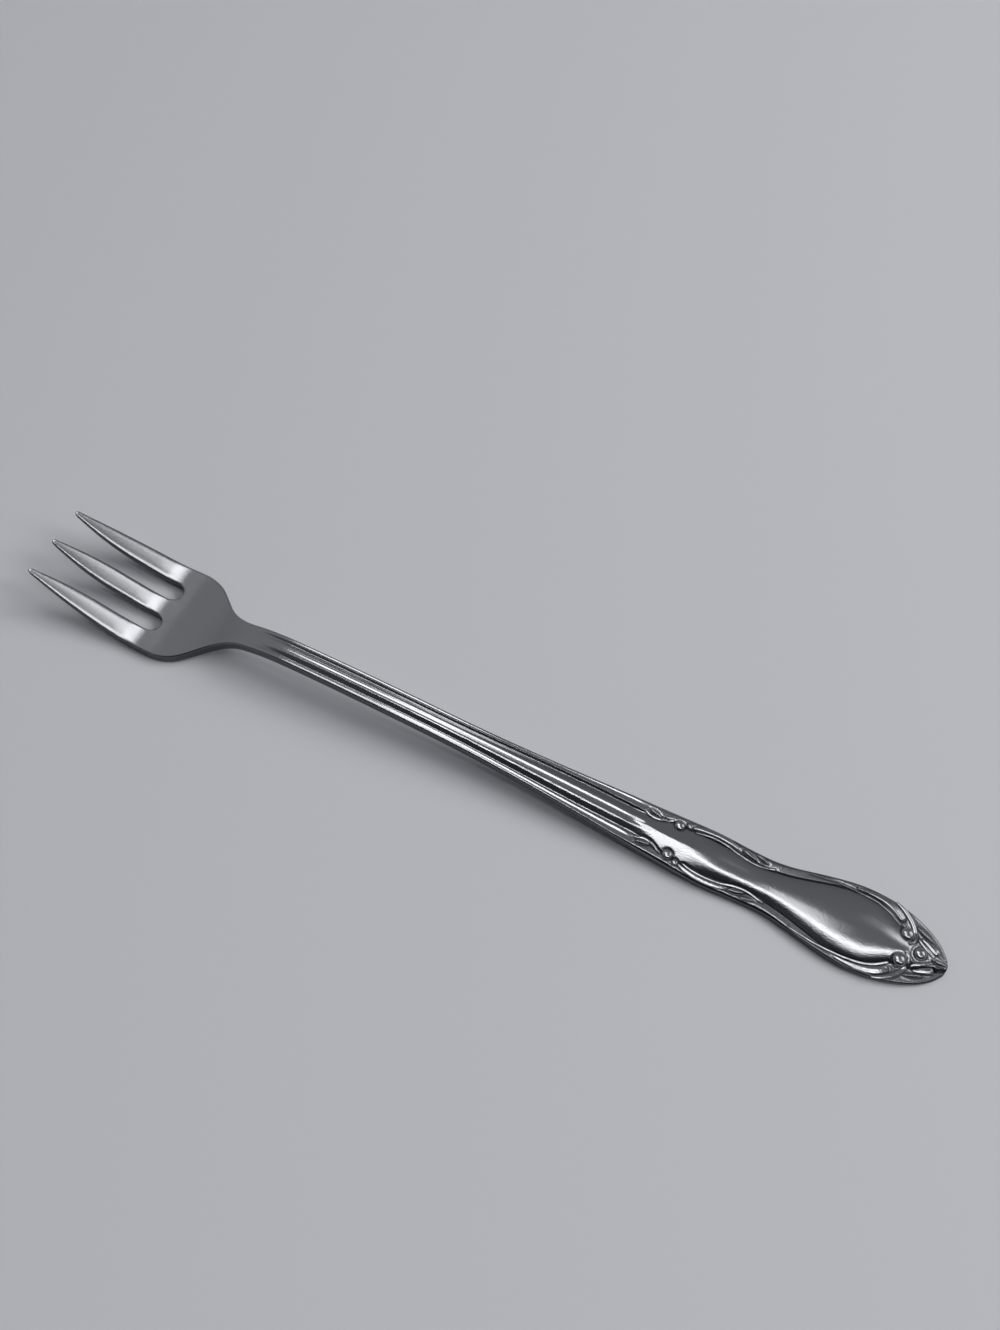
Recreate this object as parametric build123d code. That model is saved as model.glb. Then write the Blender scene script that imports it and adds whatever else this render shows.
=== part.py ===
from build123d import *
import math
import os

# Oyster fork struck from one piece of stainless steel, in millimetres.
# The fork lies along X with its handle towards +X and its tines towards -X, and rests on Z = 0.
# A station is a distance along the fork from the tip of the handle, an offset is a distance
# from its middle line, and every relief on the handle comes as a mirrored pair.

# Lengths along the fork
handle_length = 47.0        # tip of the handle to the end of the reeds
shank_length = 60.0         # end of the reeds to the crest of the neck
head_length = 45.0          # crest of the neck to the points of the tines

# Handle outline: stations and full widths of the bulb, the waist and the swell
bulb_station = 13.0
bulb_width = 12.6
waist_station = 28.0
waist_width = 8.2
swell_lead = 11.0           # from the swell to the end of the reeds
swell_width = 8.8
tip_fullness = 0.7          # power of the end curve: 0.5 is an ellipse, more is a sharper point
blunt_station = 0.6         # the panel stops here and a leaf closes the tip

# Shank outline
slim_station = 82.0         # from here to the neck the shank is nearly parallel
slim_width = 4.4
neck_width = 4.24
outline_lead = 0.75         # draws the taper of the shank towards the handle

# Thickness of the edge, and how far the middle of the face stands above it
tip_thickness = 0.9
handle_thickness = 1.35
shank_thickness = 1.8
thin_end_length = 10.0      # stretch over which the edge thins to the tip
thick_station = 65.0        # the shank reaches its full thickness here
bulb_crown = 0.9
waist_crown = 0.75
reed_end_crown = 0.5
rib_crown = 0.05
crown_flats = 5             # facets across the crowned face
edge_cut = 0.3              # broken edge of the handle and shank
rim_cut = 0.2               # the same edge on the head
cut_share = 0.35            # the broken edge takes at most this share of a thin wall

# Side view: the handle lies flat, the shank rises to a crest and the bowl comes down to the table
flat_length = 26.0
rest_trim = 0.03            # taken off the underside of the handle so that it lies flat
crest_height = 5.25         # underside of the neck above the table
arch_lead = 0.9             # draws the rise of the shank towards the handle
crest_radius = 26.0
bowl_radius = 24.5
tine_bend_radius = 14.0
tine_bend_angle = 16.0
tine_bend_length = 20.5     # from the start of the bend to the points
point_rise = 7.2            # underside of the points above the table
point_thickness = 0.9

# Head outline
head_width = 16.8
neck_curve_radius = 11.0
shoulder_radius = 8.8
flank_angle = 39.0
slot_depth = 21.4
slot_width = 3.1
slot_pitch = 6.4
taper_length = 11.5         # pointed stretch of the tines
point_width = 0.65
point_pitch = 6.28
point_rounding = 0.25
tine_land = 0.4             # straight wall of a slot that stays with the root of the tines

# Reeds of the shank and the sunk line inside the handle's border
reed_fade = 3.0             # stretch over which the reeds rise out of the neck
reed_run_out = 4.0          # stretch over which the flutes close at the handle
flute_width = 0.9           # flute beside the middle rib, at the slim part of the shank
flute_pitch = 2.0
flute_width_wide = 1.3      # the same flute where it reaches the handle
flute_pitch_wide = 3.1
flute_drop = 0.25           # from the top of a reed to the lip of the flute
flute_sink = 0.2            # from the lip to the floor of the flute
line_width = 0.3
line_drop = 0.08
line_sink = 0.12
bulb_border = 1.1           # width of the border outside the line
waist_border = 1.65
swell_border = 1.2
reed_end_border = 1.55
scroll_border = 2.3         # where the border turns in under the end scrolls
scroll_station = 7.3

# Relief struck on the handle, as (station, offset) places and sizes
relief_sink = 0.25          # share of a round relief's radius that lies below the face
large_bead = (handle_length - 5.2, 2.45, 0.75)
small_bead = (handle_length - 6.5, 3.2, 0.45)
tip_bead = (4.4, 0.0, 0.9)
volute_bead = (6.7, 2.05, 1.0)
side_scroll = [
    (handle_length - 7.3, 3.25, 0.1),
    (handle_length - 9, 3.55, 0.35),
    (handle_length - 11, 3.75, 0.45),
    (handle_length - 13, 3.6, 0.4),
    (handle_length - 14.7, 3.35, 0.1),
]
end_scroll = [(13.2, 5.3, 0.1), (11.5, 5.3, 0.35), (9.7, 4.95, 0.55), (8.2, 4.1, 0.6), (7.1, 3.2, 0.2)]
volute_stem = [(9.6, 5.6, 0.1), (8.0, 4.95, 0.22), (6.9, 4.0, 0.28), (6.3, 3.1, 0.15)]
relief_share = 0.8          # height of a moulding or leaf above the face, as a share of its half width
ridge_share = 0.3           # flat on its ridge, as a share of its width
leaf_point = 0.08           # half width of a leaf at its ends
reed_petal = ((handle_length - 0.1, 2.8), (handle_length - 2, 2.3), 0.85)
scroll_petal = ((handle_length - 15.1, 3.4), (handle_length - 17.3, 2.6), 0.85)
border_petal = ((handle_length - 17.4, 3.5), (handle_length - 19, 2.95), 0.55)
outer_leaf = ((5.7, 3.65), (2.8, 2.4), 0.85)
inner_leaf = ((5.2, 2.0), (1.6, 0.95), 0.95)
tip_lobe_length = 3.0
tip_lobe_width = 1.9
tip_lobe_height = 1.5       # from the table to the top of the leaf
tip_lobe_rounding = 0.6

overall_length = handle_length + shank_length + head_length
swell_station = handle_length - swell_lead
crest = handle_length + shank_length
flute_station = handle_length + reed_run_out


def x_at(station):
    return overall_length / 2 - station


def ease(share):
    """Smooth step from 0 to 1, level at both ends."""
    t = min(max(share, 0.0), 1.0)
    return t * t * (3 - 2 * t)


def blend(station, start, start_value, end, end_value, lead=1.0):
    """Smooth change from one value to another between two stations."""
    t = min(max((station - start) / (end - start), 0.0), 1.0)
    return start_value + (end_value - start_value) * ease(t ** lead)


def half_width(station):
    """Half the width of the handle and shank."""
    if station < bulb_station:
        reach = (bulb_station - station) / bulb_station
        return bulb_width / 2 * (1 - reach * reach) ** tip_fullness
    if station < waist_station:
        return blend(station, bulb_station, bulb_width, waist_station, waist_width) / 2
    if station < swell_station:
        return blend(station, waist_station, waist_width, swell_station, swell_width) / 2
    if station < slim_station:
        return blend(station, swell_station, swell_width, slim_station, slim_width, outline_lead) / 2
    return blend(station, slim_station, slim_width, crest, neck_width) / 2


def underside(station):
    """Height of the underside of the handle and shank above the table."""
    return blend(station, flat_length, -rest_trim, crest, crest_height, arch_lead)


def edge_thickness(station):
    if station < waist_station:
        return blend(station, 0.0, tip_thickness, thin_end_length, handle_thickness)
    return blend(station, waist_station, handle_thickness, thick_station, shank_thickness)


def strike(station):
    """How deep the dies strike: 1 along the reeds and the border, 0 at the neck and under the tip leaves."""
    if station > handle_length:
        return 1 - ease((station - crest + reed_fade) / reed_fade)
    return ease((station - scroll_station) / (bulb_station - scroll_station))


def crown(station):
    """Height of the middle of the face above its edge."""
    if station < bulb_station:
        return bulb_crown * half_width(station) / half_width(bulb_station)
    if station < waist_station:
        return blend(station, bulb_station, bulb_crown, waist_station, waist_crown)
    if station < handle_length:
        return blend(station, waist_station, waist_crown, handle_length, reed_end_crown)
    return blend(station, handle_length, reed_end_crown, slim_station, rib_crown) * strike(station)


def border_width(station):
    """Width of the border between the sunk line and the edge of the handle."""
    if station < scroll_station:
        return scroll_border * half_width(station) / half_width(scroll_station)
    if station < bulb_station:
        return blend(station, scroll_station, scroll_border, bulb_station, bulb_border)
    if station < waist_station:
        return blend(station, bulb_station, bulb_border, waist_station, waist_border)
    if station < swell_station:
        return blend(station, waist_station, waist_border, swell_station, swell_border)
    return blend(station, swell_station, swell_border, handle_length, reed_end_border)


def flute(station):
    """Offset and width of the flute in the shank, or of the sunk line in the handle."""
    line = half_width(station) - border_width(station)
    if station <= handle_length:
        return line, line_width * min(1.0, half_width(station) / half_width(scroll_station))
    if station < flute_station:
        offset = blend(station, handle_length, line, flute_station, flute_pitch_wide / 2)
        return offset, blend(station, handle_length, line_width, flute_station, flute_width_wide)
    offset = blend(station, flute_station, flute_pitch_wide, slim_station, flute_pitch) / 2
    return offset, blend(station, flute_station, flute_width_wide, slim_station, flute_width)


def flute_depths(station):
    """Drop from the edge to the lip of the flute, and from the lip to its floor."""
    drop = blend(station, handle_length, line_drop, flute_station, flute_drop)
    sink = blend(station, handle_length, line_sink, flute_station, flute_sink)
    return drop * strike(station), sink * strike(station)


def cross_section(station):
    """Closed cross-section of the handle or shank: broken edges, two flutes and a crowned middle."""
    half, low = half_width(station), underside(station)
    brow = low + edge_thickness(station)
    cut = blend(station, slim_station, edge_cut, crest, rim_cut)
    cut = min(cut, cut_share * half, cut_share * edge_thickness(station))
    middle, width = flute(station)
    drop, sink = flute_depths(station)
    inner, lip = middle - width / 2, brow - drop
    edge = [
        (half - cut, low),
        (half, low + cut),
        (half, brow - cut),
        (half - cut, brow),
        (middle + width / 2, lip),
        (middle, lip - sink),
    ]
    face = []
    for k in range(crown_flats + 1):
        share = 1 - 2 * k / crown_flats
        face.append((share * inner, lip + (crown(station) + drop) * (1 - share * share)))
    mirrored = [(-offset, height) for offset, height in reversed(edge)]
    return Wire.make_polygon([(x_at(station), *corner) for corner in edge + face + mirrored])


def lofted(stations):
    return Solid.make_loft([cross_section(station) for station in stations])


# Handle: a crowned panel inside a border, from the blunt tip to the end of the reeds.
# The sections crowd towards the tip, where the outline turns fastest.
handle_sections = 18
section_crowding = 1.5
panel_length = handle_length - blunt_station
struck_handle = lofted([
    blunt_station + panel_length * (k / handle_sections) ** section_crowding
    for k in range(handle_sections + 1)
])
above_table = Pos(0, 0, crest_height) * Box(2 * overall_length, 2 * bulb_width, 2 * crest_height)
handle = struck_handle & above_table

# Shank: two edge reeds and a middle rib, parted by two flutes.
shank_sections = 10
reed_start = crest - reed_fade
shank_stations = [handle_length, handle_length + reed_run_out / 2]
shank_stations += [
    flute_station + (reed_start - flute_station) * k / shank_sections
    for k in range(shank_sections + 1)
]
shank_stations += [crest - reed_fade / 2, crest]
shank = lofted(shank_stations)

# Side view of the head: over the crest, down into the bowl, along the table and up the tines.
swing = math.degrees(math.acos(1 - crest_height / (crest_radius + bowl_radius)))
belly = crest + (crest_radius + bowl_radius) * math.sin(math.radians(swing))
bend_station = overall_length - tine_bend_length
bend = math.radians(tine_bend_angle)


def head_line(lift, point_height):
    """One face of the bent sheet, at a height above its underside."""
    over = CenterArc((x_at(crest), crest_height - crest_radius), crest_radius + lift, 90, swing)
    bowl = CenterArc((x_at(belly), bowl_radius), bowl_radius - lift, 270, swing)
    land = Line((x_at(belly), lift), (x_at(bend_station), lift))
    bend_centre = (x_at(bend_station), tine_bend_radius)
    rise = CenterArc(bend_centre, tine_bend_radius - lift, 270 - tine_bend_angle, tine_bend_angle)
    point = (x_at(overall_length), point_height)
    tine = TangentArc(rise @ 0, point, tangent=(-math.cos(bend), math.sin(bend)))
    return [over, bowl, land, rise, tine]


def upright(station, low, height):
    return Line((x_at(station), low), (x_at(station), low + height))


side_face = Plane.XZ * make_face([
    *head_line(0.0, point_rise),
    upright(crest, crest_height, shank_thickness),
    *head_line(shank_thickness, point_rise + point_thickness),
    upright(overall_length, point_rise, point_thickness),
])
bent_sheet = extrude(side_face, head_width, both=True)

# Plan of the head: neck curve, flank, shoulder and the outer edge of the tines.
flank = math.radians(flank_angle)
half_head, half_neck = head_width / 2, neck_width / 2
curve_rise = neck_curve_radius * (1 - math.cos(flank))
shoulder_rise = shoulder_radius * (1 - math.cos(flank))
shoulder_back = belly - shoulder_radius * math.sin(flank)
curve_front = shoulder_back - (half_head - half_neck - curve_rise - shoulder_rise) / math.tan(flank)
curve_back = curve_front - neck_curve_radius * math.sin(flank)
point_edge = point_pitch + point_width / 2


def head_outline(sign):
    neck_side = Line((x_at(crest), sign * half_neck), (x_at(curve_back), sign * half_neck))
    curve_end = (x_at(curve_front), sign * (half_neck + curve_rise))
    neck_curve = TangentArc(neck_side @ 1, curve_end, tangent=(-1, 0))
    flank_line = Line(curve_end, (x_at(shoulder_back), sign * (half_head - shoulder_rise)))
    shoulder = TangentArc(flank_line @ 1, (x_at(belly), sign * half_head), tangent=flank_line % 1)
    tine_edge = TangentArc(shoulder @ 1, (x_at(overall_length), sign * point_edge), tangent=(-1, 0))
    return [neck_side, neck_curve, flank_line, shoulder, tine_edge]


plan = make_face([
    *head_outline(1),
    *head_outline(-1),
    Line((x_at(crest), -half_neck), (x_at(crest), half_neck)),
    Line((x_at(overall_length), -point_edge), (x_at(overall_length), point_edge)),
])

slot_straight = overall_length - slot_depth + slot_width / 2
taper_start = overall_length - taper_length


def slot(sign):
    """Gap between two tines: round root, straight walls, then flared where the tines come to points."""
    near, far = sign * (slot_pitch - slot_width) / 2, sign * (slot_pitch + slot_width) / 2
    root = (x_at(slot_straight - slot_width / 2), sign * slot_pitch / 2)
    near_wall = Line((x_at(slot_straight), near), (x_at(taper_start), near))
    far_wall = Line((x_at(slot_straight), far), (x_at(taper_start), far))
    near_mouth = (x_at(overall_length), sign * point_width / 2)
    far_mouth = (x_at(overall_length), sign * (point_pitch - point_width / 2))
    return make_face([
        ThreePointArc(near_wall @ 0, root, far_wall @ 0),
        near_wall,
        TangentArc(near_wall @ 1, near_mouth, tangent=(-1, 0)),
        far_wall,
        TangentArc(far_wall @ 1, far_mouth, tangent=(-1, 0)),
        Line(near_mouth, far_mouth),
    ])


plan = plan - slot(1) - slot(-1)
plan = fillet(plan.vertices().group_by(Axis.X)[0], point_rounding)
head_height = 2 * (point_rise + crest_height)
head = extrude(plan, head_height) & bent_sheet


def is_rim(edge):
    """True for an edge between a face of the sheet and the cut outline."""
    size = edge.bounding_box().size
    level, across = size.Z < 1e-6, size.X < 1e-6
    return not across or (not level and size.Y > 1e-6)


head = chamfer([edge for edge in head.edges() if is_rim(edge)], rim_cut)


def zone(start, end):
    """The stretch of the head between two stations."""
    middle = Pos(x_at((start + end) / 2), 0, 0)
    return head & (middle * Box(end - start, 2 * head_width, 2 * head_height))


tine_start = slot_straight + tine_land
root_start = (curve_front + shoulder_back) / 2
tines = zone(tine_start, overall_length).solids().sort_by(Axis.Y)


def face_height(station, offset):
    """Height of the handle's face above the table at an offset from the middle line."""
    middle, width = flute(station)
    drop, sink = flute_depths(station)
    brow = underside(station) + edge_thickness(station)
    inner = middle - width / 2
    if abs(offset) > inner:
        return brow - drop / 2
    return brow - drop + (crown(station) + drop) * (1 - (offset / inner) ** 2)


def seat(station, offset, sink=0.0):
    """A place on the handle's face, or below it."""
    return Vector(x_at(station), offset, face_height(station, offset) - sink)


def bead(row, sign=1):
    station, offset, radius = row
    return Pos(*seat(station, sign * offset, relief_sink * radius)) * Sphere(radius)


def moulding(rows, sign):
    """Ridged moulding that swells and thins along a line of (station, offset, half width) rows."""
    places = [seat(station, sign * offset) for station, offset, half in rows]
    last = len(rows) - 1
    rings = []
    for k, place in enumerate(places):
        ahead = places[min(k + 1, last)] - places[max(k - 1, 0)]
        section = Plane(place, x_dir=ahead.cross(Vector(0, 0, 1)), z_dir=ahead)
        half = rows[k][2]
        ridge = relief_share * half
        corners = [(half, 0), (half * ridge_share, ridge), (-half * ridge_share, ridge), (-half, 0), (0, -ridge)]
        rings.append(Wire.make_polygon([section.from_local_coords((u, v, 0)) for u, v in corners]))
    return Solid.make_loft(rings)


def leaf(ends, sign):
    """Almond-shaped relief between two places."""
    (start, start_offset), (end, end_offset), width = ends
    middle = ((start + end) / 2, (start_offset + end_offset) / 2, width / 2)
    return moulding([(start, start_offset, leaf_point), middle, (end, end_offset, leaf_point)], sign)


def pair(make, row):
    return [make(row, 1), make(row, -1)]


tip_plan = Pos(x_at(tip_lobe_length / 2), 0) * SlotOverall(tip_lobe_length, tip_lobe_width)
tip_lobe = extrude(tip_plan, tip_lobe_height)
tip_lobe = fillet(tip_lobe.faces().sort_by(Axis.Z)[-1].edges(), tip_lobe_rounding)

relief = {
    "reed_petals": pair(leaf, reed_petal),
    "border_beads": pair(bead, large_bead) + pair(bead, small_bead),
    "side_scrolls": pair(moulding, side_scroll),
    "scroll_petals": pair(leaf, scroll_petal) + pair(leaf, border_petal),
    "end_scrolls": pair(moulding, end_scroll),
    "volutes": pair(moulding, volute_stem) + pair(bead, volute_bead),
    "tip_bead": [bead(tip_bead)],
    "tip_leaves": pair(leaf, outer_leaf) + pair(leaf, inner_leaf) + [tip_lobe],
}

nodes = {
    "left_tine": tines[0],
    "middle_tine": tines[1],
    "right_tine": tines[2],
    "tine_root": zone(root_start, tine_start),
    "neck": zone(crest, root_start),
    "reeded_shank": shank,
    "handle": handle,
}
for name, shapes in relief.items():
    nodes[name] = Compound([solid for shape in shapes for solid in (shape - handle).solids()])

os.makedirs("parts", exist_ok=True)
for name, shape in nodes.items():
    export_step(shape, f"parts/{name}.step")
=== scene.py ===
import math

import bmesh
import bpy
import numpy as np
from mathutils import Matrix, Vector
from mathutils.bvhtree import BVHTree


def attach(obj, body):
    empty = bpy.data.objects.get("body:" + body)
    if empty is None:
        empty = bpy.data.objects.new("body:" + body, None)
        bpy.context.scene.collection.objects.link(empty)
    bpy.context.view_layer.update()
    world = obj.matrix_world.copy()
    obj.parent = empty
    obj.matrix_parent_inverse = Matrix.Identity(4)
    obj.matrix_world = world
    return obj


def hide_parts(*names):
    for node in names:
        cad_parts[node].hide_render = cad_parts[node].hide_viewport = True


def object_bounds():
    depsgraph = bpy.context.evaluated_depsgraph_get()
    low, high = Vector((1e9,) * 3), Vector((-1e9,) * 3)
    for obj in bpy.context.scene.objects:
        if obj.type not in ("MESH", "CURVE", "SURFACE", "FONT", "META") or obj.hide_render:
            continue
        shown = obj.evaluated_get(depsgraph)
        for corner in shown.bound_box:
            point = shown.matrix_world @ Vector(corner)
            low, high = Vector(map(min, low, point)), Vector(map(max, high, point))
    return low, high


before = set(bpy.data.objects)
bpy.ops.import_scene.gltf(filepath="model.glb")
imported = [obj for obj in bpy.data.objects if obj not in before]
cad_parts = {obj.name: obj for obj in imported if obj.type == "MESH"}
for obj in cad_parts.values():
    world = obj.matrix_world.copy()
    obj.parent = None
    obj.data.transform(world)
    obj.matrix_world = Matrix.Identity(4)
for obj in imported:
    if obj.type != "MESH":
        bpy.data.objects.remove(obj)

cad_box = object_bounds()

# The fork: one blank of stainless-steel sheet, rolled thinner towards the tines, pierced between them,
# struck between dies that raise its reeds and the handle's border, then bent and polished.

# Sizes are in millimetres. A station is a distance from the tip of the handle, and an offset is one from
# the middle line. The first stations run from the handle's bulb to the crest of the neck.
MM = 0.001
low_corner, high_corner = (np.array(corner) / MM for corner in cad_box)
tip_x = high_corner[0]
length = high_corner[0] - low_corner[0]
sheet = 1.8
bulb, waist, swell, handle_end, slim, crest = 13.0, 28.0, 36.0, 47.0, 82.0, 107.0


def through(station, *knots, lead=1.0):
    """Smooth line through (station, value) knots, level at each. A lead under 1 starts each step sooner."""
    value = np.full_like(station, knots[0][1])
    for (start, first), (end, last) in zip(knots, knots[1:]):
        t = np.clip((station - start) / (end - start), 0.0, 1.0) ** lead
        value = value + (last - first) * (t * t * (3 - 2 * t))
    return value


def arc(radius, distance):
    """Height of an arc above its centre, at a distance from its middle."""
    return np.sqrt(radius ** 2 - np.clip(distance, 0.0, 0.9 * radius) ** 2)


def rounding_off(run, rise, distance):
    """Drop of an arc that starts level and falls by rise over run."""
    radius = (run ** 2 + rise ** 2) / (2 * rise)
    return radius - arc(radius, np.minimum(distance, run))


# Side view: flat under the handle, up to the crest, down into the bowl, level at its root, up the tines.
lift_off, crest_height = 26.0, 5.25
crest_radius, bowl_radius = 26.0, 24.5
swing = math.acos(1 - crest_height / (crest_radius + bowl_radius))
belly = crest + (crest_radius + bowl_radius) * math.sin(swing)
bend_start, bend_radius, bend_angle = length - 20.5, 14.0, math.radians(16)
point_low, point_high = 7.2, 8.1


def head_height(station, lift, point_height):
    """Height of one face of the bent sheet, lift above its underside."""
    over, under, bend = crest_radius + lift, bowl_radius - lift, bend_radius - lift
    hill_end = crest + over * math.sin(swing)
    hill = crest_height - crest_radius + arc(over, station - crest)
    bowl = bowl_radius - arc(under, belly - station)
    bend_end = bend_start + bend * math.sin(bend_angle)
    rise = bend_radius - arc(bend, station - bend_start)
    foot = bend_radius - bend * math.cos(bend_angle)
    run, climb = length - bend_end, point_height - foot
    along = run * math.cos(bend_angle) + climb * math.sin(bend_angle)
    aside = climb * math.cos(bend_angle) - run * math.sin(bend_angle)
    tine_radius = (along ** 2 + aside ** 2) / (2 * aside)
    from_low_point = station - bend_end + tine_radius * math.sin(bend_angle)
    tine = foot + tine_radius * math.cos(bend_angle) - arc(tine_radius, from_low_point)
    return np.select([station < hill_end, station < belly, station < bend_start, station < bend_end],
                     [hill, bowl, np.full_like(station, lift), rise], tine)


def underside(station):
    """Height of the underside above the table."""
    shank = through(station, (lift_off, 0.0), (crest, crest_height), lead=0.9)
    return np.where(station < crest, shank, head_height(station, 0.0, point_low))


def edge_height(station):
    """Height of the upper face at the edge."""
    thickness = through(station, (0.0, 0.9), (10.0, 1.35), (waist, 1.35), (65.0, sheet))
    return np.where(station < crest, underside(station) + thickness, head_height(station, sheet, point_high))


# Plan: the pear-shaped handle, the tapered shank, the neck, the shoulders and the outer tines.
bulb_width, waist_width, swell_width, slim_width, neck_width, head_width = 12.6, 8.2, 8.8, 4.4, 4.24, 16.8
tip_roundness = 0.55
flank, neck_radius, shoulder_radius = math.radians(39), 11.0, 8.8
shoulder_back = belly - shoulder_radius * math.sin(flank)
flank_rise = (head_width - neck_width) / 2 - (neck_radius + shoulder_radius) * (1 - math.cos(flank))
neck_front = shoulder_back - flank_rise / math.tan(flank)
neck_back = neck_front - neck_radius * math.sin(flank)
point_offset, point_width = 6.28, 0.65


def half_width(station):
    """Half the width across the outline, from the tip of the handle to the points of the outer tines."""
    reach = np.clip((bulb - station) / bulb, 0.0, 1.0)
    tip = bulb_width / 2 * (1 - reach * reach) ** tip_roundness
    handle = through(station, (bulb, bulb_width), (waist, waist_width), (swell, swell_width)) / 2
    shank = through(station, (swell, swell_width), (slim, slim_width), lead=0.75)
    shank = (shank + through(station, (slim, 0.0), (crest, neck_width - slim_width))) / 2
    neck = neck_width / 2 + neck_radius - arc(neck_radius, station - neck_back)
    centre = head_width / 2 - shoulder_radius
    side = centre + shoulder_radius * math.cos(flank) - (shoulder_back - station) * math.tan(flank)
    shoulder = centre + arc(shoulder_radius, belly - station)
    draft = head_width / 2 - point_offset - point_width / 2
    tine = head_width / 2 - rounding_off(length - belly, draft, station - belly)
    return np.select(
        [station < bulb, station < swell, station < crest, station < neck_front,
         station < shoulder_back, station < belly],
        [tip, handle, shank, neck, side, shoulder], tine)


# Struck detail: the flute on each side of the shank's middle rib runs on as the sunk line inside the
# handle's border, and the face inside it is crowned.
scroll = 7.3
line_width, line_drop, line_sink = 0.4, 0.08, 0.16


def strike(station):
    """How deep the dies strike: 1 along the reeds and the border, 0 at the neck and under the tip leaves."""
    border = through(station, (scroll, 0.0), (bulb, 1.0))
    reeds = through(station, (crest - 3, 1.0), (crest + 9, 0.0))
    return border * reeds


def crown(station):
    """Rise of the handle's panel above its edge."""
    rise = through(station, (bulb, 0.88), (waist, 0.47), (swell, 0.64), (handle_end, 0.5), (slim, 0.05))
    return rise * (half_width(np.minimum(station, bulb)) / (bulb_width / 2)) ** 0.4


def sunk_line(station):
    """Inner and outer lip of the sunk line inside the handle's border."""
    border = through(station, (scroll, 2.3), (bulb, 1.15), (waist, 1.7), (swell, 1.5), (handle_end, 1.55))
    shrink = half_width(np.minimum(station, scroll)) / half_width(np.array([scroll]))
    middle = half_width(station) - border * shrink
    return middle - line_width / 2 * shrink, middle + line_width / 2 * shrink


slot_width, slot_pitch, slot_depth = 3.1, 6.4, 21.4
slot_end = length - slot_depth + slot_width / 2
flute_start, taper_start = 51.0, length - 11.5
neck_shares = 0.26, 0.684
slot_lips = (slot_pitch - slot_width) / 2, (slot_pitch + slot_width) / 2
point_lips = point_width / 2, point_offset - point_width / 2


def flute(station):
    """Inner and outer lip of the shank's flute, or of the slot between the tines."""
    middle = through(station, (flute_start, 1.55), (slim, 1.0))
    width = through(station, (flute_start, 1.3), (slim, 0.9))
    into_slot = through(station, (crest, 0.0), (slot_end, 1.0))
    lips = []
    for way, neck_share, slot_lip, point_lip in zip((-1, 1), neck_shares, slot_lips, point_lips):
        share = neck_share + (slot_lip / (head_width / 2) - neck_share) * into_slot
        taper = rounding_off(length - taper_start, abs(point_lip - slot_lip), station - taper_start)
        lips.append(np.select([station > slot_end, station > crest],
                              [slot_lip + way * taper, half_width(station) * share],
                              middle + way * width / 2))
    return lips


def flute_lines(station):
    """Lips that the columns of the face follow: the sunk line's on the handle, the flute's from there on."""
    on_shank = through(station, (handle_end, 0.0), (flute_start, 1.0))
    return [line + (lip - line) * on_shank for line, lip in zip(sunk_line(station), flute(station))]


# Cross sections of the rib and the edge reed: shares of the way across from the middle line or the flute,
# and the heights there as shares of the rib's half width or the reed's width.
rib_facets = (0.0, 0.25, 0.65, 0.72, 1.0), (0.0, 0.0, 0.1, 0.1, 0.02)
reed_facets = (0.0, 0.3, 0.5, 0.78, 0.84, 1.0), (0.0, -0.075, -0.075, 0.0, 0.0, -0.04)
flute_depth, flute_bottom = 0.4, 0.72


def bands(across, inner, outer, half):
    """Shares of the way across the middle, across the hollow between the lips, and on to the edge."""
    hollow, edge = np.maximum(outer - inner, 1e-6), np.maximum(half - outer, 1e-6)
    shares = across / inner, (across - inner) / hollow, (across - outer) / edge
    return [np.clip(share, 0.0, 1.0) for share in shares]


def handle_face(station, across):
    """Height of the crowned panel, the sunk line and the border."""
    depth = strike(station)
    inner, outer = sunk_line(station)
    in_panel, in_line, in_border = bands(across, inner, outer, half_width(station))
    lip = edge_height(station) - line_drop * depth
    fullness = through(station, (33.0, 2.0), (40.0, 1.08))
    panel = lip + (crown(station) + line_drop * depth) * (1 - in_panel ** fullness)
    line = lip - line_sink * depth * (1 - (2 * in_line - 1) ** 2)
    border = lip + line_drop * depth * (1 - (1 - in_border) ** 2.2)
    return np.where(across < inner, panel, np.where(across < outer, line, border))


def shank_face(station, across):
    """Height of the middle rib, the flute and the edge reed."""
    depth, brow, half = strike(station), edge_height(station), half_width(station)
    inner, outer = flute(station)
    in_rib, in_flute, in_reed = bands(across, inner, outer, half)
    facets = depth * through(station, (94.0, 1.0), (crest + 3, 0.4))
    rib = brow + facets * inner * np.interp(in_rib, *rib_facets)
    rib_edge = brow + facets * inner * rib_facets[1][-1]
    wall = np.interp(in_flute, (0.0, flute_bottom, 1.0), (0.0, 1.0, 0.0))
    sunk = rib_edge + (brow - rib_edge) * in_flute - flute_depth * depth * wall
    reed = brow + facets * (half - outer) * np.interp(in_reed, *reed_facets)
    return np.where(across < inner, rib, np.where(across < outer, sunk, reed))


def face_height(station, offset):
    """Height of the upper face above the table."""
    across = np.abs(offset)
    handle, shank = handle_face(station, across), shank_face(station, across)
    return handle + (shank - handle) * through(station, (44.5, 0.0), (49.0, 1.0))


def edge_rounding(station):
    """Radius of the rounded edge."""
    return through(station, (0.0, 0.3), (6.0, 0.35), (20.0, 0.4), (waist, 0.7), (41.0, 0.7), (52.0, 0.35),
                   (slim, 0.35), (crest, 0.3), (slot_end, 0.28), (length - 3, 0.24), (length, 0.18))


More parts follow.
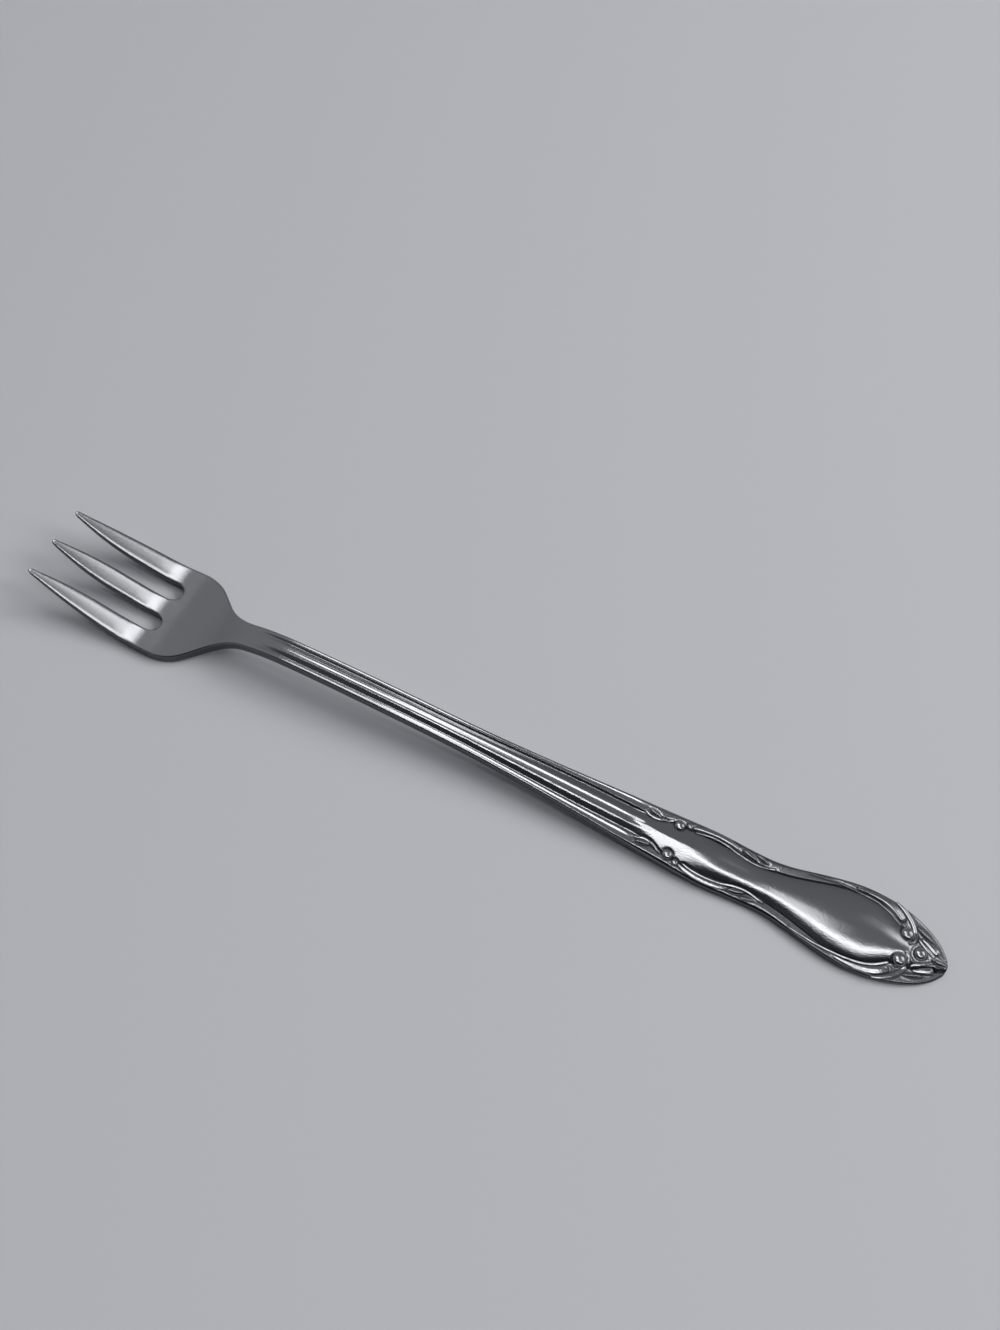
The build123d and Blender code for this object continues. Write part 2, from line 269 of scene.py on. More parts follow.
# The upper face is laid out in rows along the fork and columns that follow the lips of the flutes.
# It stops short of the outline by the edge rounding.
fine_stations = np.concatenate([bulb * np.linspace(0, 1, 400) ** 2, np.linspace(bulb, length, 4000)[1:]])
outline = np.stack([fine_stations, half_width(fine_stations)], axis=1)
run = np.gradient(outline, axis=0)
run /= np.linalg.norm(run, axis=1, keepdims=True)
inset = outline + edge_rounding(fine_stations)[:, None] * np.stack([run[:, 1], -run[:, 0]], axis=1)

panel_columns, flute_columns, reed_columns = 18, 8, 12
panel_share = np.linspace(0, 1, panel_columns + 1)
flute_share = np.linspace(0, 1, flute_columns + 1)[1:]
reed_share = np.linspace(0, 1, reed_columns + 1)[1:]
draw_in = 125.0


def row_offsets(station):
    """Offsets of the columns on one side of the middle line, for rows at these stations."""
    inner, outer = flute_lines(station)
    at_slot = through(station, (draw_in, 0.0), (slot_end, 1.0))
    rounding = at_slot * edge_rounding(np.maximum(station, slot_end))
    inner, outer = (inner - rounding)[:, None], (outer + rounding)[:, None]
    edge = np.interp(station, inset[:, 0], inset[:, 1])[:, None]
    return np.concatenate([
        inner * panel_share,
        inner + (outer - inner) * flute_share,
        outer + (edge - outer) * reed_share,
    ], axis=1)


first_row, tip_reach = 0.7, 0.35
rows = np.concatenate([
    np.arange(first_row, 10.0, 0.13),
    np.arange(10.0, 26.0, 0.25),
    np.arange(26.0, handle_end, 0.17),
    np.arange(handle_end, 60.0, 0.4),
    np.arange(60.0, crest - 7, 0.9),
    np.arange(crest - 7, draw_in, 0.3),
    draw_in + (slot_end - draw_in) * (1 - (1 - np.linspace(0, 1, 30)) ** 1.4),
])
half_offsets = row_offsets(rows)
half_stations = np.repeat(rows[:, None], half_offsets.shape[1], axis=1)

# Rows draw in round the root of each slot, and the last one lies on its arc.
in_slot = slice(panel_columns, panel_columns + flute_columns + 1)
root_radius = slot_width / 2 + edge_rounding(rows)[-1]
from_middle = half_offsets[-1, in_slot] - slot_pitch / 2
root_depth = np.sqrt(np.maximum(root_radius ** 2 - from_middle ** 2, 0.0))
drawn = np.clip((rows - draw_in) / (slot_end - draw_in), 0.0, 1.0)
half_stations[:, in_slot] -= drawn[:, None] * root_depth


def both_sides(half, sign):
    """All columns of rows that have those on one side of the middle line."""
    return np.concatenate([sign * half[:, :0:-1], half], axis=1)


def round_end(offsets):
    """How far a round end stands out at each offset: 0 at its sides, 1 in its middle."""
    share = (2 * offsets - offsets[0] - offsets[-1]) / (offsets[-1] - offsets[0])
    return np.sqrt(1 - np.clip(share, -1.0, 1.0) ** 2)


stations, offsets = both_sides(half_stations, 1), both_sides(half_offsets, -1)
stations[0] -= tip_reach * round_end(offsets[0])
plan = [np.stack([stations, offsets], axis=2).reshape(-1, 2)]
grids = [np.arange(offsets.size).reshape(offsets.shape)]

# The tines go on from the last row, each with its own columns and a round nose.
nose, nose_reach = length - 0.45, 0.25
tine_rows = np.concatenate([np.arange(slot_end, nose, 0.3)[1:], [nose, nose]])
tine_offsets = both_sides(row_offsets(tine_rows), -1)
columns = offsets.shape[1]
left_lip, right_lip = columns // 2 - panel_columns, columns // 2 + panel_columns
last_left, first_right = reed_columns, columns - 1 - reed_columns
for first, last in ((0, last_left), (left_lip, right_lip), (first_right, columns - 1)):
    tine = tine_offsets[:, first:last + 1]
    steps = np.repeat(tine_rows[:, None], tine.shape[1], axis=1)
    steps[-1] += nose_reach * round_end(tine[-1])
    grid = sum(map(len, plan)) + np.arange(tine.size).reshape(tine.shape)
    grids.append(np.concatenate([grids[0][-1:, first:last + 1], grid]))
    plan.append(np.stack([steps, tine], axis=2).reshape(-1, 2))
plan = np.concatenate(plan)

# The dies leave the tines slightly hollow above, and polishing rolls their edges and rounds them below.
hollow, roll, roll_start, belly_round = 0.06, 1.3, 0.78, 0.08
hollow_drop, belly_lift = np.zeros(len(plan)), np.zeros(len(plan))
for grid in grids[1:]:
    tine = plan[grid, 1]
    half_tine = (tine[:, [-1]] - tine[:, [0]]) / 2
    share = np.abs(tine - (tine[:, [0]] + tine[:, [-1]]) / 2) / half_tine
    scale = half_tine * through(plan[grid, 0], (slot_end, 0.0), (slot_end + 5, 1.0))
    hollow_drop[grid] = scale * (hollow * (1 - share ** 2) + roll * np.maximum(share - roll_start, 0.0) ** 2)
    belly_lift[grid] = scale * belly_round * share ** 2.4


def round_tine(tine):
    """Out along one side of a tine, across its nose and back along the other side."""
    return tine[:-1, 0], tine[-1, :-1], tine[:0:-1, -1]


# One closed line runs round the handle, the tines and the slots between them.
body, left_tine, middle_tine, right_tine = grids
loop = np.concatenate([
    body[:-1, 0], *round_tine(left_tine),
    body[-1, last_left:left_lip], *round_tine(middle_tine),
    body[-1, right_lip:first_right], *round_tine(right_tine),
    body[:0:-1, -1], body[0, :0:-1],
])
around = plan[loop]
heading = np.roll(around, -1, axis=0) - np.roll(around, 1, axis=0)
heading /= np.linalg.norm(heading, axis=1, keepdims=True)
area = np.sum(around[:, 0] * np.roll(around[:, 1], -1) - around[:, 1] * np.roll(around[:, 0], -1))
outward = math.copysign(1.0, area) * np.stack([heading[:, 1], -heading[:, 0]], axis=1)


def placed(spots, heights):
    """Points from (station, offset) spots and heights."""
    return np.column_stack([tip_x - spots[:, 0], spots[:, 1], heights])


# The edge rounds over from both faces to the outline. The trimmed metal there is left rougher, and its colour
# is darkened almost to black as painted shade.
face_top = face_height(plan[:, 0], plan[:, 1]) - hollow_drop
face_back = underside(plan[:, 0]) + belly_lift
rim_steps, rim_share = 5, 0.42
rim_radius = edge_rounding(around[:, 0])
rim_drop = np.minimum(rim_radius, rim_share * (face_top[loop] - face_back[loop]))
# Painted shade: towards the wall of the rim its colour goes almost to black, and it also grows rougher.
trim_dull_and_shade, trim_spread = 0.95, through(around[:, 0], (24.0, 0.7), (44.0, 2.0))
turns = np.linspace(0, math.pi / 2, rim_steps + 1)[1:]
rim, rim_dull_and_shade = [], []
for face, way in ((face_top, 1), (face_back, -1)):
    for turn in turns[::way]:
        spots = around + outward * (rim_radius * math.sin(turn))[:, None]
        rim.append(placed(spots, face[loop] - way * rim_drop * (1 - math.cos(turn))))
        rim_dull_and_shade.append(trim_dull_and_shade * math.sin(turn) ** trim_spread)

quads = []
for grid in grids:
    corners = np.stack([grid[:-1, :-1], grid[:-1, 1:], grid[1:, 1:], grid[1:, :-1]], axis=2).reshape(-1, 4)
    quads.append(corners)
    quads.append(corners[:, ::-1] + len(plan))
rim_rings = 2 * len(plan) + np.arange(len(rim) * len(loop)).reshape(len(rim), len(loop))
rings = [loop, *rim_rings, loop + len(plan)]
for upper, lower in zip(rings, rings[1:]):
    quads.append(np.stack([upper, np.roll(upper, -1), np.roll(lower, -1), lower], axis=1))

points = np.concatenate([placed(plan, face_top), placed(plan, face_back)] + rim)
skin = bpy.data.meshes.new("struck_fork")
skin.from_pydata((points * MM).tolist(), [], np.concatenate(quads).tolist())
skin.validate()
skin.shade_smooth()
fork = bpy.data.objects.new("struck_fork", skin)
bpy.context.scene.collection.objects.link(fork)

# The sunk line is left about as rough as the trimmed edge, and its colour is darkened like it as painted
# shade.
in_line = bands(np.abs(plan[:, 1]), *sunk_line(plan[:, 0]), half_width(plan[:, 0]))[1]
line_dull_and_shade = (1 - (2 * in_line - 1) ** 2) * strike(plan[:, 0]) * through(plan[:, 0], (42.0, 1.0), (45.0, 0.0))
dull_and_shade_layer = skin.attributes.new("dull_and_shade", "FLOAT", "POINT")
dull_and_shade_layer.data.foreach_set("value", np.concatenate([line_dull_and_shade, np.zeros(len(plan))] + rim_dull_and_shade))
shell = bmesh.new()
shell.from_mesh(skin)
bmesh.ops.remove_doubles(shell, verts=shell.verts, dist=1e-7)
bmesh.ops.recalc_face_normals(shell, faces=shell.faces)
shell.to_mesh(skin)
shell.free()


class Signal:
    """A node's socket that can be used in sums like a number."""

    def __init__(self, tree, socket=None):
        self.tree, self.socket = tree, socket

    def node(self, kind, feeds=(), output=0, **settings):
        """Any other node, with the values or links of its sockets by index or name."""
        made = self.tree.nodes.new(kind)
        for key, value in settings.items():
            setattr(made, key, value)
        for key, value in dict(feeds).items():
            if isinstance(value, Signal):
                self.tree.links.new(value.socket, made.inputs[key])
            else:
                made.inputs[key].default_value = value
        return Signal(self.tree, made.outputs[output])

    def math(self, operation, *values):
        """A Math node on values or signals."""
        return self.node("ShaderNodeMath", enumerate(values), operation=operation)

    def __add__(self, other):
        return self.math("ADD", self, other)

    def __sub__(self, other):
        return self.math("SUBTRACT", self, other)

    def __rsub__(self, other):
        return self.math("SUBTRACT", other, self)

    def __mul__(self, other):
        return self.math("MULTIPLY", self, other)

    def __truediv__(self, other):
        return self.math("DIVIDE", self, other)

    def __rtruediv__(self, other):
        return self.math("DIVIDE", other, self)

    def __pow__(self, power):
        return self.math("POWER", self, power)

    def __rpow__(self, base):
        return self.math("POWER", base, self)

    __radd__, __rmul__ = __add__, __mul__


def polished_steel():
    """Stainless steel: brushed lengthwise on the shank, softer on the head, finely grained on the handle."""
    steel = bpy.data.materials.new("polished_steel")
    steel.use_nodes = True
    tree = steel.node_tree
    shader = tree.nodes["Principled BSDF"]
    start = Signal(tree)
    place = start.node("ShaderNodeTexCoord", output="Object")
    x = start.node("ShaderNodeSeparateXYZ", {0: place}, output=0)

    def from_to(first, last):
        """0 before the first station, 1 past the last."""
        ends = {0: x, 1: (tip_x - first) * MM, 2: (tip_x - last) * MM}
        return start.node("ShaderNodeMapRange", ends, interpolation_type="SMOOTHSTEP")

    on_handle, on_head = from_to(52.0, 44.0), from_to(116.0, 132.0)
    stroke = start.node("ShaderNodeMapping", {0: place, "Scale": (260.0, 7000.0, 7000.0)})
    brush = start.node("ShaderNodeTexNoise", {"Vector": stroke, "Scale": 1.0, "Detail": 3.0})
    grain = start.node("ShaderNodeTexNoise", {"Vector": place, "Scale": 5200.0, "Detail": 2.0})
    cloud = start.node("ShaderNodeTexNoise", {"Vector": place, "Scale": 130.0, "Detail": 3.0})
    dull_and_shade = start.node("ShaderNodeAttribute", output="Fac", attribute_name="dull_and_shade")

    brushed, grained = 0.1 + 0.07 * brush + 0.07 * on_head, 0.09 + 0.06 * grain
    rough = brushed * (1 - on_handle) + grained * on_handle + 0.04 * cloud + 0.1 * dull_and_shade
    tree.links.new(rough.socket, shader.inputs["Roughness"])
    relief = brush * (1 - on_handle) + 2.5 * grain * on_handle
    bump = start.node("ShaderNodeBump", {"Height": relief, "Strength": 0.3, "Distance": 0.02 * MM}, "Normal")
    tree.links.new(bump.socket, shader.inputs["Normal"])

    def blend(share, first, last):
        """A colour between two others."""
        return start.node("ShaderNodeMix", {0: share, 6: first, 7: last}, output=2, data_type="RGBA")

    # Painted shade: where the attribute is high, on the trimmed edge, the sunk line and the creases, the
    # colour goes almost to black; the same attribute also adds roughness.
    grey_steel, pale_steel, painted_shade = (0.53, 0.54, 0.57, 1), (0.6, 0.61, 0.63, 1), (0.02, 0.02, 0.023, 1)
    tone = blend(0.94 * dull_and_shade, blend(cloud, grey_steel, pale_steel), painted_shade)
    tree.links.new(tone.socket, shader.inputs["Base Color"])
    shader.inputs["Metallic"].default_value = 1.0
    return steel


steel = polished_steel()
skin.materials.append(steel)
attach(fork, "root")
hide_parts("left_tine", "middle_tine", "right_tine", "tine_root", "neck", "reeded_shank", "handle")

# Petals: one almond-shaped leaf on each side, where the edge reed ends against the handle, and a thin
# stem that curls from beside it to the first bead. They are struck up out of the same steel.


def struck_tree(name, *sizes):
    """An empty node tree with named sizes, and signals for them."""
    tree = bpy.data.node_groups.new(name, "GeometryNodeTree")
    kinds = {"Seats": "NodeSocketGeometry", "Steel": "NodeSocketMaterial"}
    for size in ("Seats", "Steel") + sizes:
        tree.interface.new_socket(size, in_out="INPUT", socket_type=kinds.get(size, "NodeSocketFloat"))
    tree.interface.new_socket("Relief", in_out="OUTPUT", socket_type="NodeSocketGeometry")
    entry = tree.nodes.new("NodeGroupInput")
    return tree, {socket.name: Signal(tree, socket) for socket in entry.outputs if socket.name}


def finish_tree(tree, shape, steel_socket):
    """Smooth shading, plain geometry and the steel close every tree."""
    smooth = shape.node("GeometryNodeSetShadeSmooth", {0: shape})
    plain = shape.node("GeometryNodeRealizeInstances", {0: smooth})
    clad = shape.node("GeometryNodeSetMaterial", {0: plain, "Material": steel_socket})
    leave = tree.nodes.new("NodeGroupOutput")
    tree.links.new(clad.socket, leave.inputs[0])
    return tree


def boss_tree():
    """Round beads or pointed leaves: one ball, drawn to points and set on every seat."""
    tree, size = struck_tree("struck_bosses", "Pointed", "Bluntness", "Ridge")
    ball = size["Seats"].node("GeometryNodeMeshUVSphere", {"Segments": 28, "Rings": 18, "Radius": 1.0})
    lying = ball.node("GeometryNodeTransform", {0: ball, "Rotation": (0.0, math.pi / 2, 0.0)})
    spot = ball.node("GeometryNodeInputPosition")
    x, y, z = (ball.node("ShaderNodeSeparateXYZ", {0: spot}, output=axis) for axis in range(3))
    taper = ball.math("MAXIMUM", 1 - x * x, 0.0) ** size["Pointed"]
    flat = ball.math("ABSOLUTE", z) ** size["Bluntness"] * ball.math("SIGN", z)
    ridge = 1 - size["Ridge"] * ball.math("ABSOLUTE", y)
    drawn = ball.node("ShaderNodeCombineXYZ", {0: x, 1: y * taper, 2: flat * ridge})
    leaf = ball.node("GeometryNodeSetPosition", {0: lying, "Position": drawn})
    turn, half_sizes = (ball.node("GeometryNodeInputNamedAttribute", {"Name": name}, data_type="FLOAT_VECTOR")
                        for name in ("turn", "half_sizes"))
    set_out = ball.node("GeometryNodeInstanceOnPoints",
                        {"Points": size["Seats"], "Instance": leaf, "Rotation": turn, "Scale": half_sizes})
    return finish_tree(tree, set_out, size["Steel"])


def moulding_tree():
    """A ridged moulding along a line, as wide as its seats say and round at its ends."""
    tree, size = struck_tree("struck_mouldings", "Height", "Ridge", "Lean", "Step")
    line = size["Seats"].node("GeometryNodeMeshToCurve", {0: size["Seats"]})
    line = line.node("GeometryNodeCurveSplineType", {0: line}, spline_type="CATMULL_ROM")
    line = line.node("GeometryNodeResampleCurve", {0: line, "Length": size["Step"]}, mode="LENGTH")
    line = line.node("GeometryNodeSetCurveNormal", {0: line}, mode="Z_UP")
    half = line.node("GeometryNodeInputNamedAttribute", {"Name": "half"})
    along = line.node("GeometryNodeSplineParameter", output="Length")
    whole = line.node("GeometryNodeSplineLength", output="Length")
    from_end = line.math("MINIMUM", along, whole - along)
    short = line.math("MAXIMUM", 1 - from_end / half, 0.0)
    radius = half * (1.0001 - short * short) ** 0.5
    ring = line.node("GeometryNodeCurvePrimitiveCircle", {"Resolution": 24, "Radius": 1.0})
    spot = line.node("GeometryNodeInputPosition")
    x, y = (line.node("ShaderNodeSeparateXYZ", {0: spot}, output=axis) for axis in range(2))
    wall = line.math("MINIMUM", line.math("MAXIMUM", 3 * y, -1.0), 1.0)
    roof = 1 - size["Ridge"] * line.math("ABSOLUTE", x - size["Lean"])
    gable = line.node("ShaderNodeCombineXYZ", {0: x, 1: size["Height"] * wall * roof})
    ring = line.node("GeometryNodeSetPosition", {0: ring, "Position": gable})
    bar = line.node("GeometryNodeCurveToMesh",
                    {"Curve": line, "Profile Curve": ring, "Scale": radius, "Fill Caps": True})
    return finish_tree(tree, bar, size["Steel"])


struck_bosses, struck_mouldings = boss_tree(), moulding_tree()
reliefs = []


def grown(name, tree, seats, edges, traits, **sizes):
    """Grows a relief on its seats, in millimetres, and keeps the result as a plain mesh."""
    mesh = bpy.data.meshes.new(name)
    mesh.from_pydata((np.asarray(seats) * MM).tolist(), edges, [])
    for trait, values in traits.items():
        vectors = np.ndim(values) == 2
        layer = mesh.attributes.new(trait, "FLOAT_VECTOR" if vectors else "FLOAT", "POINT")
        layer.data.foreach_set("vector" if vectors else "value", np.ravel(values))
    piece = bpy.data.objects.new(name, mesh)
    bpy.context.scene.collection.objects.link(piece)
    modifier = piece.modifiers.new("struck", "NODES")
    modifier.node_group = tree
    sizes["Steel"] = steel
    for socket in tree.interface.items_tree:
        if socket.in_out == "INPUT" and socket.name in sizes:
            modifier[socket.identifier] = sizes[socket.name]
    relief = bpy.data.meshes.new_from_object(piece.evaluated_get(bpy.context.evaluated_depsgraph_get()))
    piece.modifiers.clear()
    piece.data = relief
    relief.name = name
    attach(piece, "root")
    reliefs.append(piece)
    return piece


def seat(station, offset):
    """A place on the face of the handle."""
    height = face_height(np.array([float(station)]), np.array([float(offset)]))[0]
    return np.array([tip_x - station, offset, height])


def sides(offset):
    """Both sides for what stands off the middle line, one for what stands on it."""
    return (1, -1) if offset else (1,)


def leaves(name, rows):
    """Leaves from one (station, offset) to another, with half their width, mirrored off the middle line."""
    height, sink = 0.85, 0.06
    seats, turns, half_sizes = [], [], []
    for start, end, half in rows:
        for side in sides(start[1]):
            first, last = seat(start[0], side * start[1]), seat(end[0], side * end[1])
            reach = np.linalg.norm(last - first)
            ahead = (last - first) / reach
            aside = np.cross((0.0, 0.0, 1.0), ahead)
            aside /= np.linalg.norm(aside)
            square = np.cross(ahead, aside)
            seats.append(seat((start[0] + end[0]) / 2, side * (start[1] + end[1]) / 2) - sink * square)
            turns.append(Matrix(np.stack([ahead, aside, square], axis=1).tolist()).to_euler())
            half_sizes.append((reach / 2 * MM, half * MM, height * half * MM))
    return grown(name, struck_bosses, seats, [], {"turn": turns, "half_sizes": half_sizes},
                 Pointed=0.45, Bluntness=0.5, Ridge=0.32)


def mouldings(name, lines, height=0.75, ridge=0.36, inward=0.0):
    """Mouldings along lines of (station, offset, half width), each turned round on its mirrored side."""
    sink = 0.1
    seats, edges, halves = [], [], []
    for line in lines:
        for side in (1, -1):
            first = len(seats)
            for station, offset, half in line[::side]:
                seats.append(seat(station, side * offset) - np.array([0.0, 0.0, sink * half]))
                halves.append(half * MM)
            edges += [(k, k + 1) for k in range(first, len(seats) - 1)]
    return grown(name, struck_mouldings, seats, edges, {"half": halves},
                 Height=height, Ridge=ridge, Lean=inward, Step=0.05 * MM)


reed_petals = leaves("reed_petals", [((46.8, 2.8), (44.6, 2.3), 0.4)])
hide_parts("reed_petals")
mouldings("petal_stems", [
    [(47.2, 2.3, 0.13), (46.3, 1.95, 0.19), (45.4, 1.85, 0.21), (44.5, 2.05, 0.21), (43.6, 2.4, 0.19),
     (42.8, 2.8, 0.13)],
])

# Beads: a large and a small one on each side, between the petals and the side scrolls.
# They are plain domes of the same steel, struck in the same blow.


def beads(name, rows):
    """Domes at (station, offset, radius), on both sides where they stand off the middle line."""
    height, sink = 0.7, 0.2
    seats, half_sizes = [], []
    for station, offset, radius in rows:
        for side in sides(offset):
            seats.append(seat(station, side * offset) - np.array([0.0, 0.0, sink * radius]))
            half_sizes.append((radius * MM, radius * MM, height * radius * MM))
    turns = [(0.0, 0.0, 0.0)] * len(seats)
    return grown(name, struck_bosses, seats, [], {"turn": turns, "half_sizes": half_sizes},
                 Pointed=0.0, Bluntness=0.55, Ridge=0.0)


border_beads = beads("border_beads", [(41.75, 2.45, 0.8), (40.3, 3.1, 0.48)])
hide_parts("border_beads")

# Side scrolls: a C-shaped moulding along each side of the swell, from the beads to the lower petals, and
# a finer one inside it that runs on past the waist. Both are struck in the same steel, with a ridged top.
side_scrolls = mouldings("side_scrolls", [
    [(39.8, 3.1, 0.14), (38.6, 3.45, 0.3), (37.0, 3.68, 0.38), (35.5, 3.72, 0.38), (34.0, 3.6, 0.36),
     (32.8, 3.35, 0.27), (32.0, 3.1, 0.15)],
    [(39.2, 2.65, 0.1), (38.0, 2.95, 0.14), (36.5, 3.1, 0.15), (35.0, 3.07, 0.15), (33.5, 2.85, 0.15),
     (32.4, 2.6, 0.16), (31.2, 2.35, 0.17), (30.0, 2.2, 0.18), (28.8, 2.25, 0.17), (27.6, 2.5, 0.15),
     (26.6, 2.75, 0.11)],
], ridge=0.34, inward=0.2)
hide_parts("side_scrolls")

# Lower petals: two leaves on each side that close the side scrolls at the waist.
# They are struck in the same steel, with the same pointed shape as the upper ones.
scroll_petals = leaves("scroll_petals", [((32.0, 3.35), (29.5, 2.7), 0.48), ((29.9, 3.6), (27.8, 3.1), 0.3)])
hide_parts("scroll_petals")

# End scrolls: a thick round-ended bar on each side of the bulb, with a thin line inside it.
# Both are struck in the same steel, and their ridges lean towards the middle line.
end_scrolls = mouldings("end_scrolls", [
    [(15.0, 5.5, 0.12), (13.4, 5.6, 0.24), (11.6, 5.55, 0.42), (10.2, 5.3, 0.54), (9.0, 4.8, 0.58),
     (8.1, 4.2, 0.55), (7.5, 3.7, 0.45)],
    [(22.0, 4.45, 0.07), (18.0, 5.0, 0.1), (14.2, 5.0, 0.13), (12.6, 4.92, 0.15), (11.0, 4.62, 0.17),
     (9.6, 4.1, 0.18), (8.5, 3.4, 0.17), (7.8, 2.9, 0.12)],
], height=0.7, ridge=0.38, inward=0.4)
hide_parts("end_scrolls")

# Volutes: a stem outside each end scroll that curls round a plain dome, the eye of the volute.
# Stem and eye are struck in the same steel.
volutes = mouldings("volutes", [
    [(9.4, 5.95, 0.1), (8.3, 5.5, 0.22), (7.3, 4.85, 0.28), (6.5, 4.15, 0.3), (5.9, 3.4, 0.3),
     (5.5, 2.6, 0.28), (5.35, 1.85, 0.24), (5.55, 1.15, 0.17), (6.1, 0.75, 0.1)],
], height=0.8, ridge=0.3)
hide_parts("volutes")
beads("volute_eyes", [(6.6, 2.0, 0.98)])

# Tip bead: one dome on the middle line, with half a thin ring round it on the panel's side.
# Both are struck in the same steel.
tip_bead = beads("tip_bead", [(4.2, 0.0, 0.88)])
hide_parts("tip_bead")
mouldings("bead_ring", [
    [(5.4, 0.0, 0.1), (5.27, 0.5, 0.1), (4.9, 0.95, 0.1), (4.4, 1.15, 0.07)],
], ridge=0.3)

# Tip leaves: a narrow outer leaf and two lobes on each side, and one middle leaf, that close the end of
# the handle. They are struck in the same steel.
tip_leaves = leaves("tip_leaves", [((5.6, 3.75), (2.9, 2.65), 0.36), ((2.5, 0.0), (0.3, 0.0), 0.42)])
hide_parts("tip_leaves")
mouldings("tip_lobes", [
    [(4.4, 2.45, 0.12), (3.7, 2.2, 0.3), (3.0, 1.85, 0.42), (2.3, 1.5, 0.48), (1.7, 1.2, 0.46)],
    [(4.9, 2.15, 0.1), (4.3, 1.65, 0.2), (3.5, 1.15, 0.24), (2.7, 0.7, 0.2), (2.2, 0.45, 0.12)],
], height=0.6, ridge=0.34)

# Creases: the dies sink the fork's steel a little round the foot of every relief.
# The polishing wheel doesn't reach there, so the crease stays rougher, and its colour is darkened almost to
# black as painted shade.
crease_width, crease_reach, crease_depth, crease_dull_and_shade = 0.2 * MM, 0.5 * MM, 0.06 * MM, 0.9
ornament_start = 56.0
feet, foot_faces = [], []
for piece in reliefs:
    first = len(feet)
    feet += [vertex.co.copy() for vertex in piece.data.vertices]
    foot_faces += [[first + corner for corner in face.vertices] for face in piece.data.polygons]
relief_skin = BVHTree.FromPolygons(feet, foot_faces)
skin_points, skin_normals = np.empty((len(skin.vertices), 3)), np.empty((len(skin.vertices), 3))
skin_dull_and_shade = np.empty(len(skin.vertices))
skin.vertices.foreach_get("co", skin_points.ravel())
skin.vertices.foreach_get("normal", skin_normals.ravel())
skin.attributes["dull_and_shade"].data.foreach_get("value", skin_dull_and_shade)
on_ornament = skin_points[:, 0] > (tip_x - ornament_start) * MM
for spot in np.flatnonzero(on_ornament & (skin_normals[:, 2] > 0.3)):
    gap = relief_skin.find_nearest(Vector(skin_points[spot]), crease_reach)[3]
    if gap is not None:
        crease = math.exp(-(gap / crease_width) ** 2)
        skin_points[spot, 2] -= crease_depth * crease
        skin_dull_and_shade[spot] = max(skin_dull_and_shade[spot], crease_dull_and_shade * crease)
skin.vertices.foreach_set("co", skin_points.ravel())
skin.attributes["dull_and_shade"].data.foreach_set("value", skin_dull_and_shade)
skin.update()

# The table: a plain pale board with a matt face.
# The fork lies loose on it and touches it under the handle and under the root of the tines.
bpy.ops.mesh.primitive_plane_add(size=4.0)
table = bpy.context.object
table.name = "table"
board = bpy.data.materials.new("pale_board")
board.use_nodes = True
board.node_tree.nodes["Principled BSDF"].inputs["Base Color"].default_value = (0.67, 0.68, 0.72, 1)
board.node_tree.nodes["Principled BSDF"].inputs["Roughness"].default_value = 0.9
table.data.materials.append(board)

# Light: a large soft window high on the right lights the table and is kept out of the reflections.
# Three dim soft boxes overhead, and a white card that shows in reflections alone, light the steel.


def soft_light(name, place, long_side, size, size_y, power):
    """A rectangular lamp aimed at the fork, in metres and watts, its first side along long_side."""
    light = bpy.data.lights.new(name, "AREA")
    light.shape = "RECTANGLE"
    light.size, light.size_y, light.energy = size, size_y, power
    lamp = bpy.data.objects.new(name, light)
    back = Vector(place).normalized()
    side = Vector(long_side)
    side = (side - side.dot(back) * back).normalized()
    turned = Matrix((side, back.cross(side), back)).transposed().to_4x4()
    lamp.matrix_world = Matrix.Translation(place) @ turned
    bpy.context.scene.collection.objects.link(lamp)
    return lamp


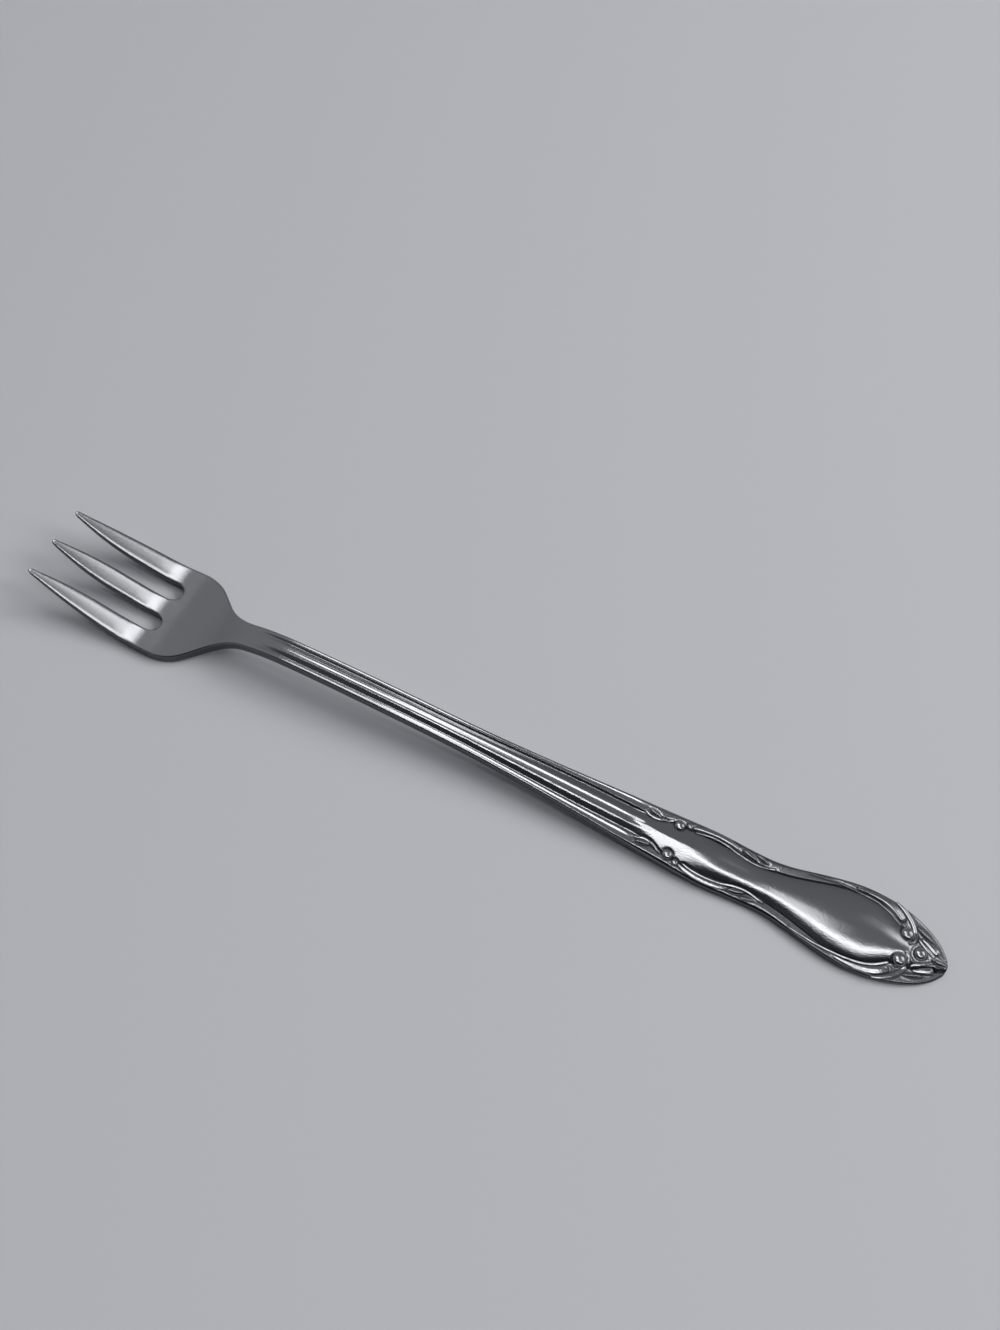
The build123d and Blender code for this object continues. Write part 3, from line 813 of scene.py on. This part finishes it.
window = soft_light("window", (1.31, 0.64, 1.06), (-0.4, 0.8, 0.0), 1.28, 0.8, 25.0)
window.visible_glossy = False
card = soft_light("white_card", (0.66, 0.6, 0.87), (1.0, -0.8, 0.0), 0.6, 0.46, 0.95)
card.visible_diffuse = False
soft_light("handle_soft_box", (0.24, -0.155, 1.19), (1.0, 0.0, 0.0), 1.0, 0.12, 1.15)
soft_light("shank_soft_box", (-0.06, 0.12, 1.19), (1.0, 0.0, 0.0), 0.28, 0.34, 0.45)
soft_light("tine_soft_box", (-0.275, 0.42, 1.19), (1.0, 0.0, 0.0), 0.43, 0.26, 0.72)

# The room: dim, with its far half lighter than the near one, where only the foot of the wall is lit.
# It brightens a little past the tines.
room = bpy.data.worlds.new("room")
room.use_nodes = True
sky = Signal(room.node_tree)
towards = sky.node("ShaderNodeTexCoord", output="Generated")
east, north, up = (sky.node("ShaderNodeSeparateXYZ", {0: towards}, output=axis) for axis in range(3))


def fade(value, start, end, first, last):
    """Smooth change from first to last while the value goes from start to end."""
    ends = {0: value, 1: start, 2: end, 3: first, 4: last}
    return sky.node("ShaderNodeMapRange", ends, interpolation_type="SMOOTHSTEP")


far_half = fade(north, -0.35, 0.05, 0.02, 0.15) * fade(up, 0.0, 0.7, 0.55, 1.0)
near_wall = fade(north, 0.05, -0.35, 0.0, 1.0) * fade(up, 0.42, 0.12, 0.0, 0.08)
past_tines = sky.math("MAXIMUM", east * -0.1, 0.0)
glow = far_half + near_wall + past_tines
backdrop = room.node_tree.nodes["Background"]
backdrop.inputs["Color"].default_value = (0.97, 0.99, 1.04, 1)
room.node_tree.links.new(glow.socket, backdrop.inputs["Strength"])
bpy.context.scene.world = room

# Camera: where the photograph was taken from, above the handle and to one side.
# Its focal length is in pixels of a frame as high as the photograph.
focal_pixels, frame_pixels = 1160, 1330
view = bpy.data.cameras.new("view")
view.sensor_width = 36.0
view.lens = view.sensor_width * focal_pixels / frame_pixels
view.clip_start = 0.005
camera = bpy.data.objects.new("view", view)
right_axis, down_axis = Vector((0.8945, 0.4471, 0.0)), Vector((0.3936, -0.7874, -0.4745))
back_axis = right_axis.cross(-down_axis)
turned = Matrix((right_axis, -down_axis, back_axis)).transposed().to_4x4()
camera.matrix_world = Matrix.Translation(Vector((37.5, -63.7, 164.85)) * MM) @ turned
bpy.context.scene.collection.objects.link(camera)
bpy.context.scene.camera = camera

bpy.context.scene.view_settings.view_transform = "Standard"

bpy.context.view_layer.update()
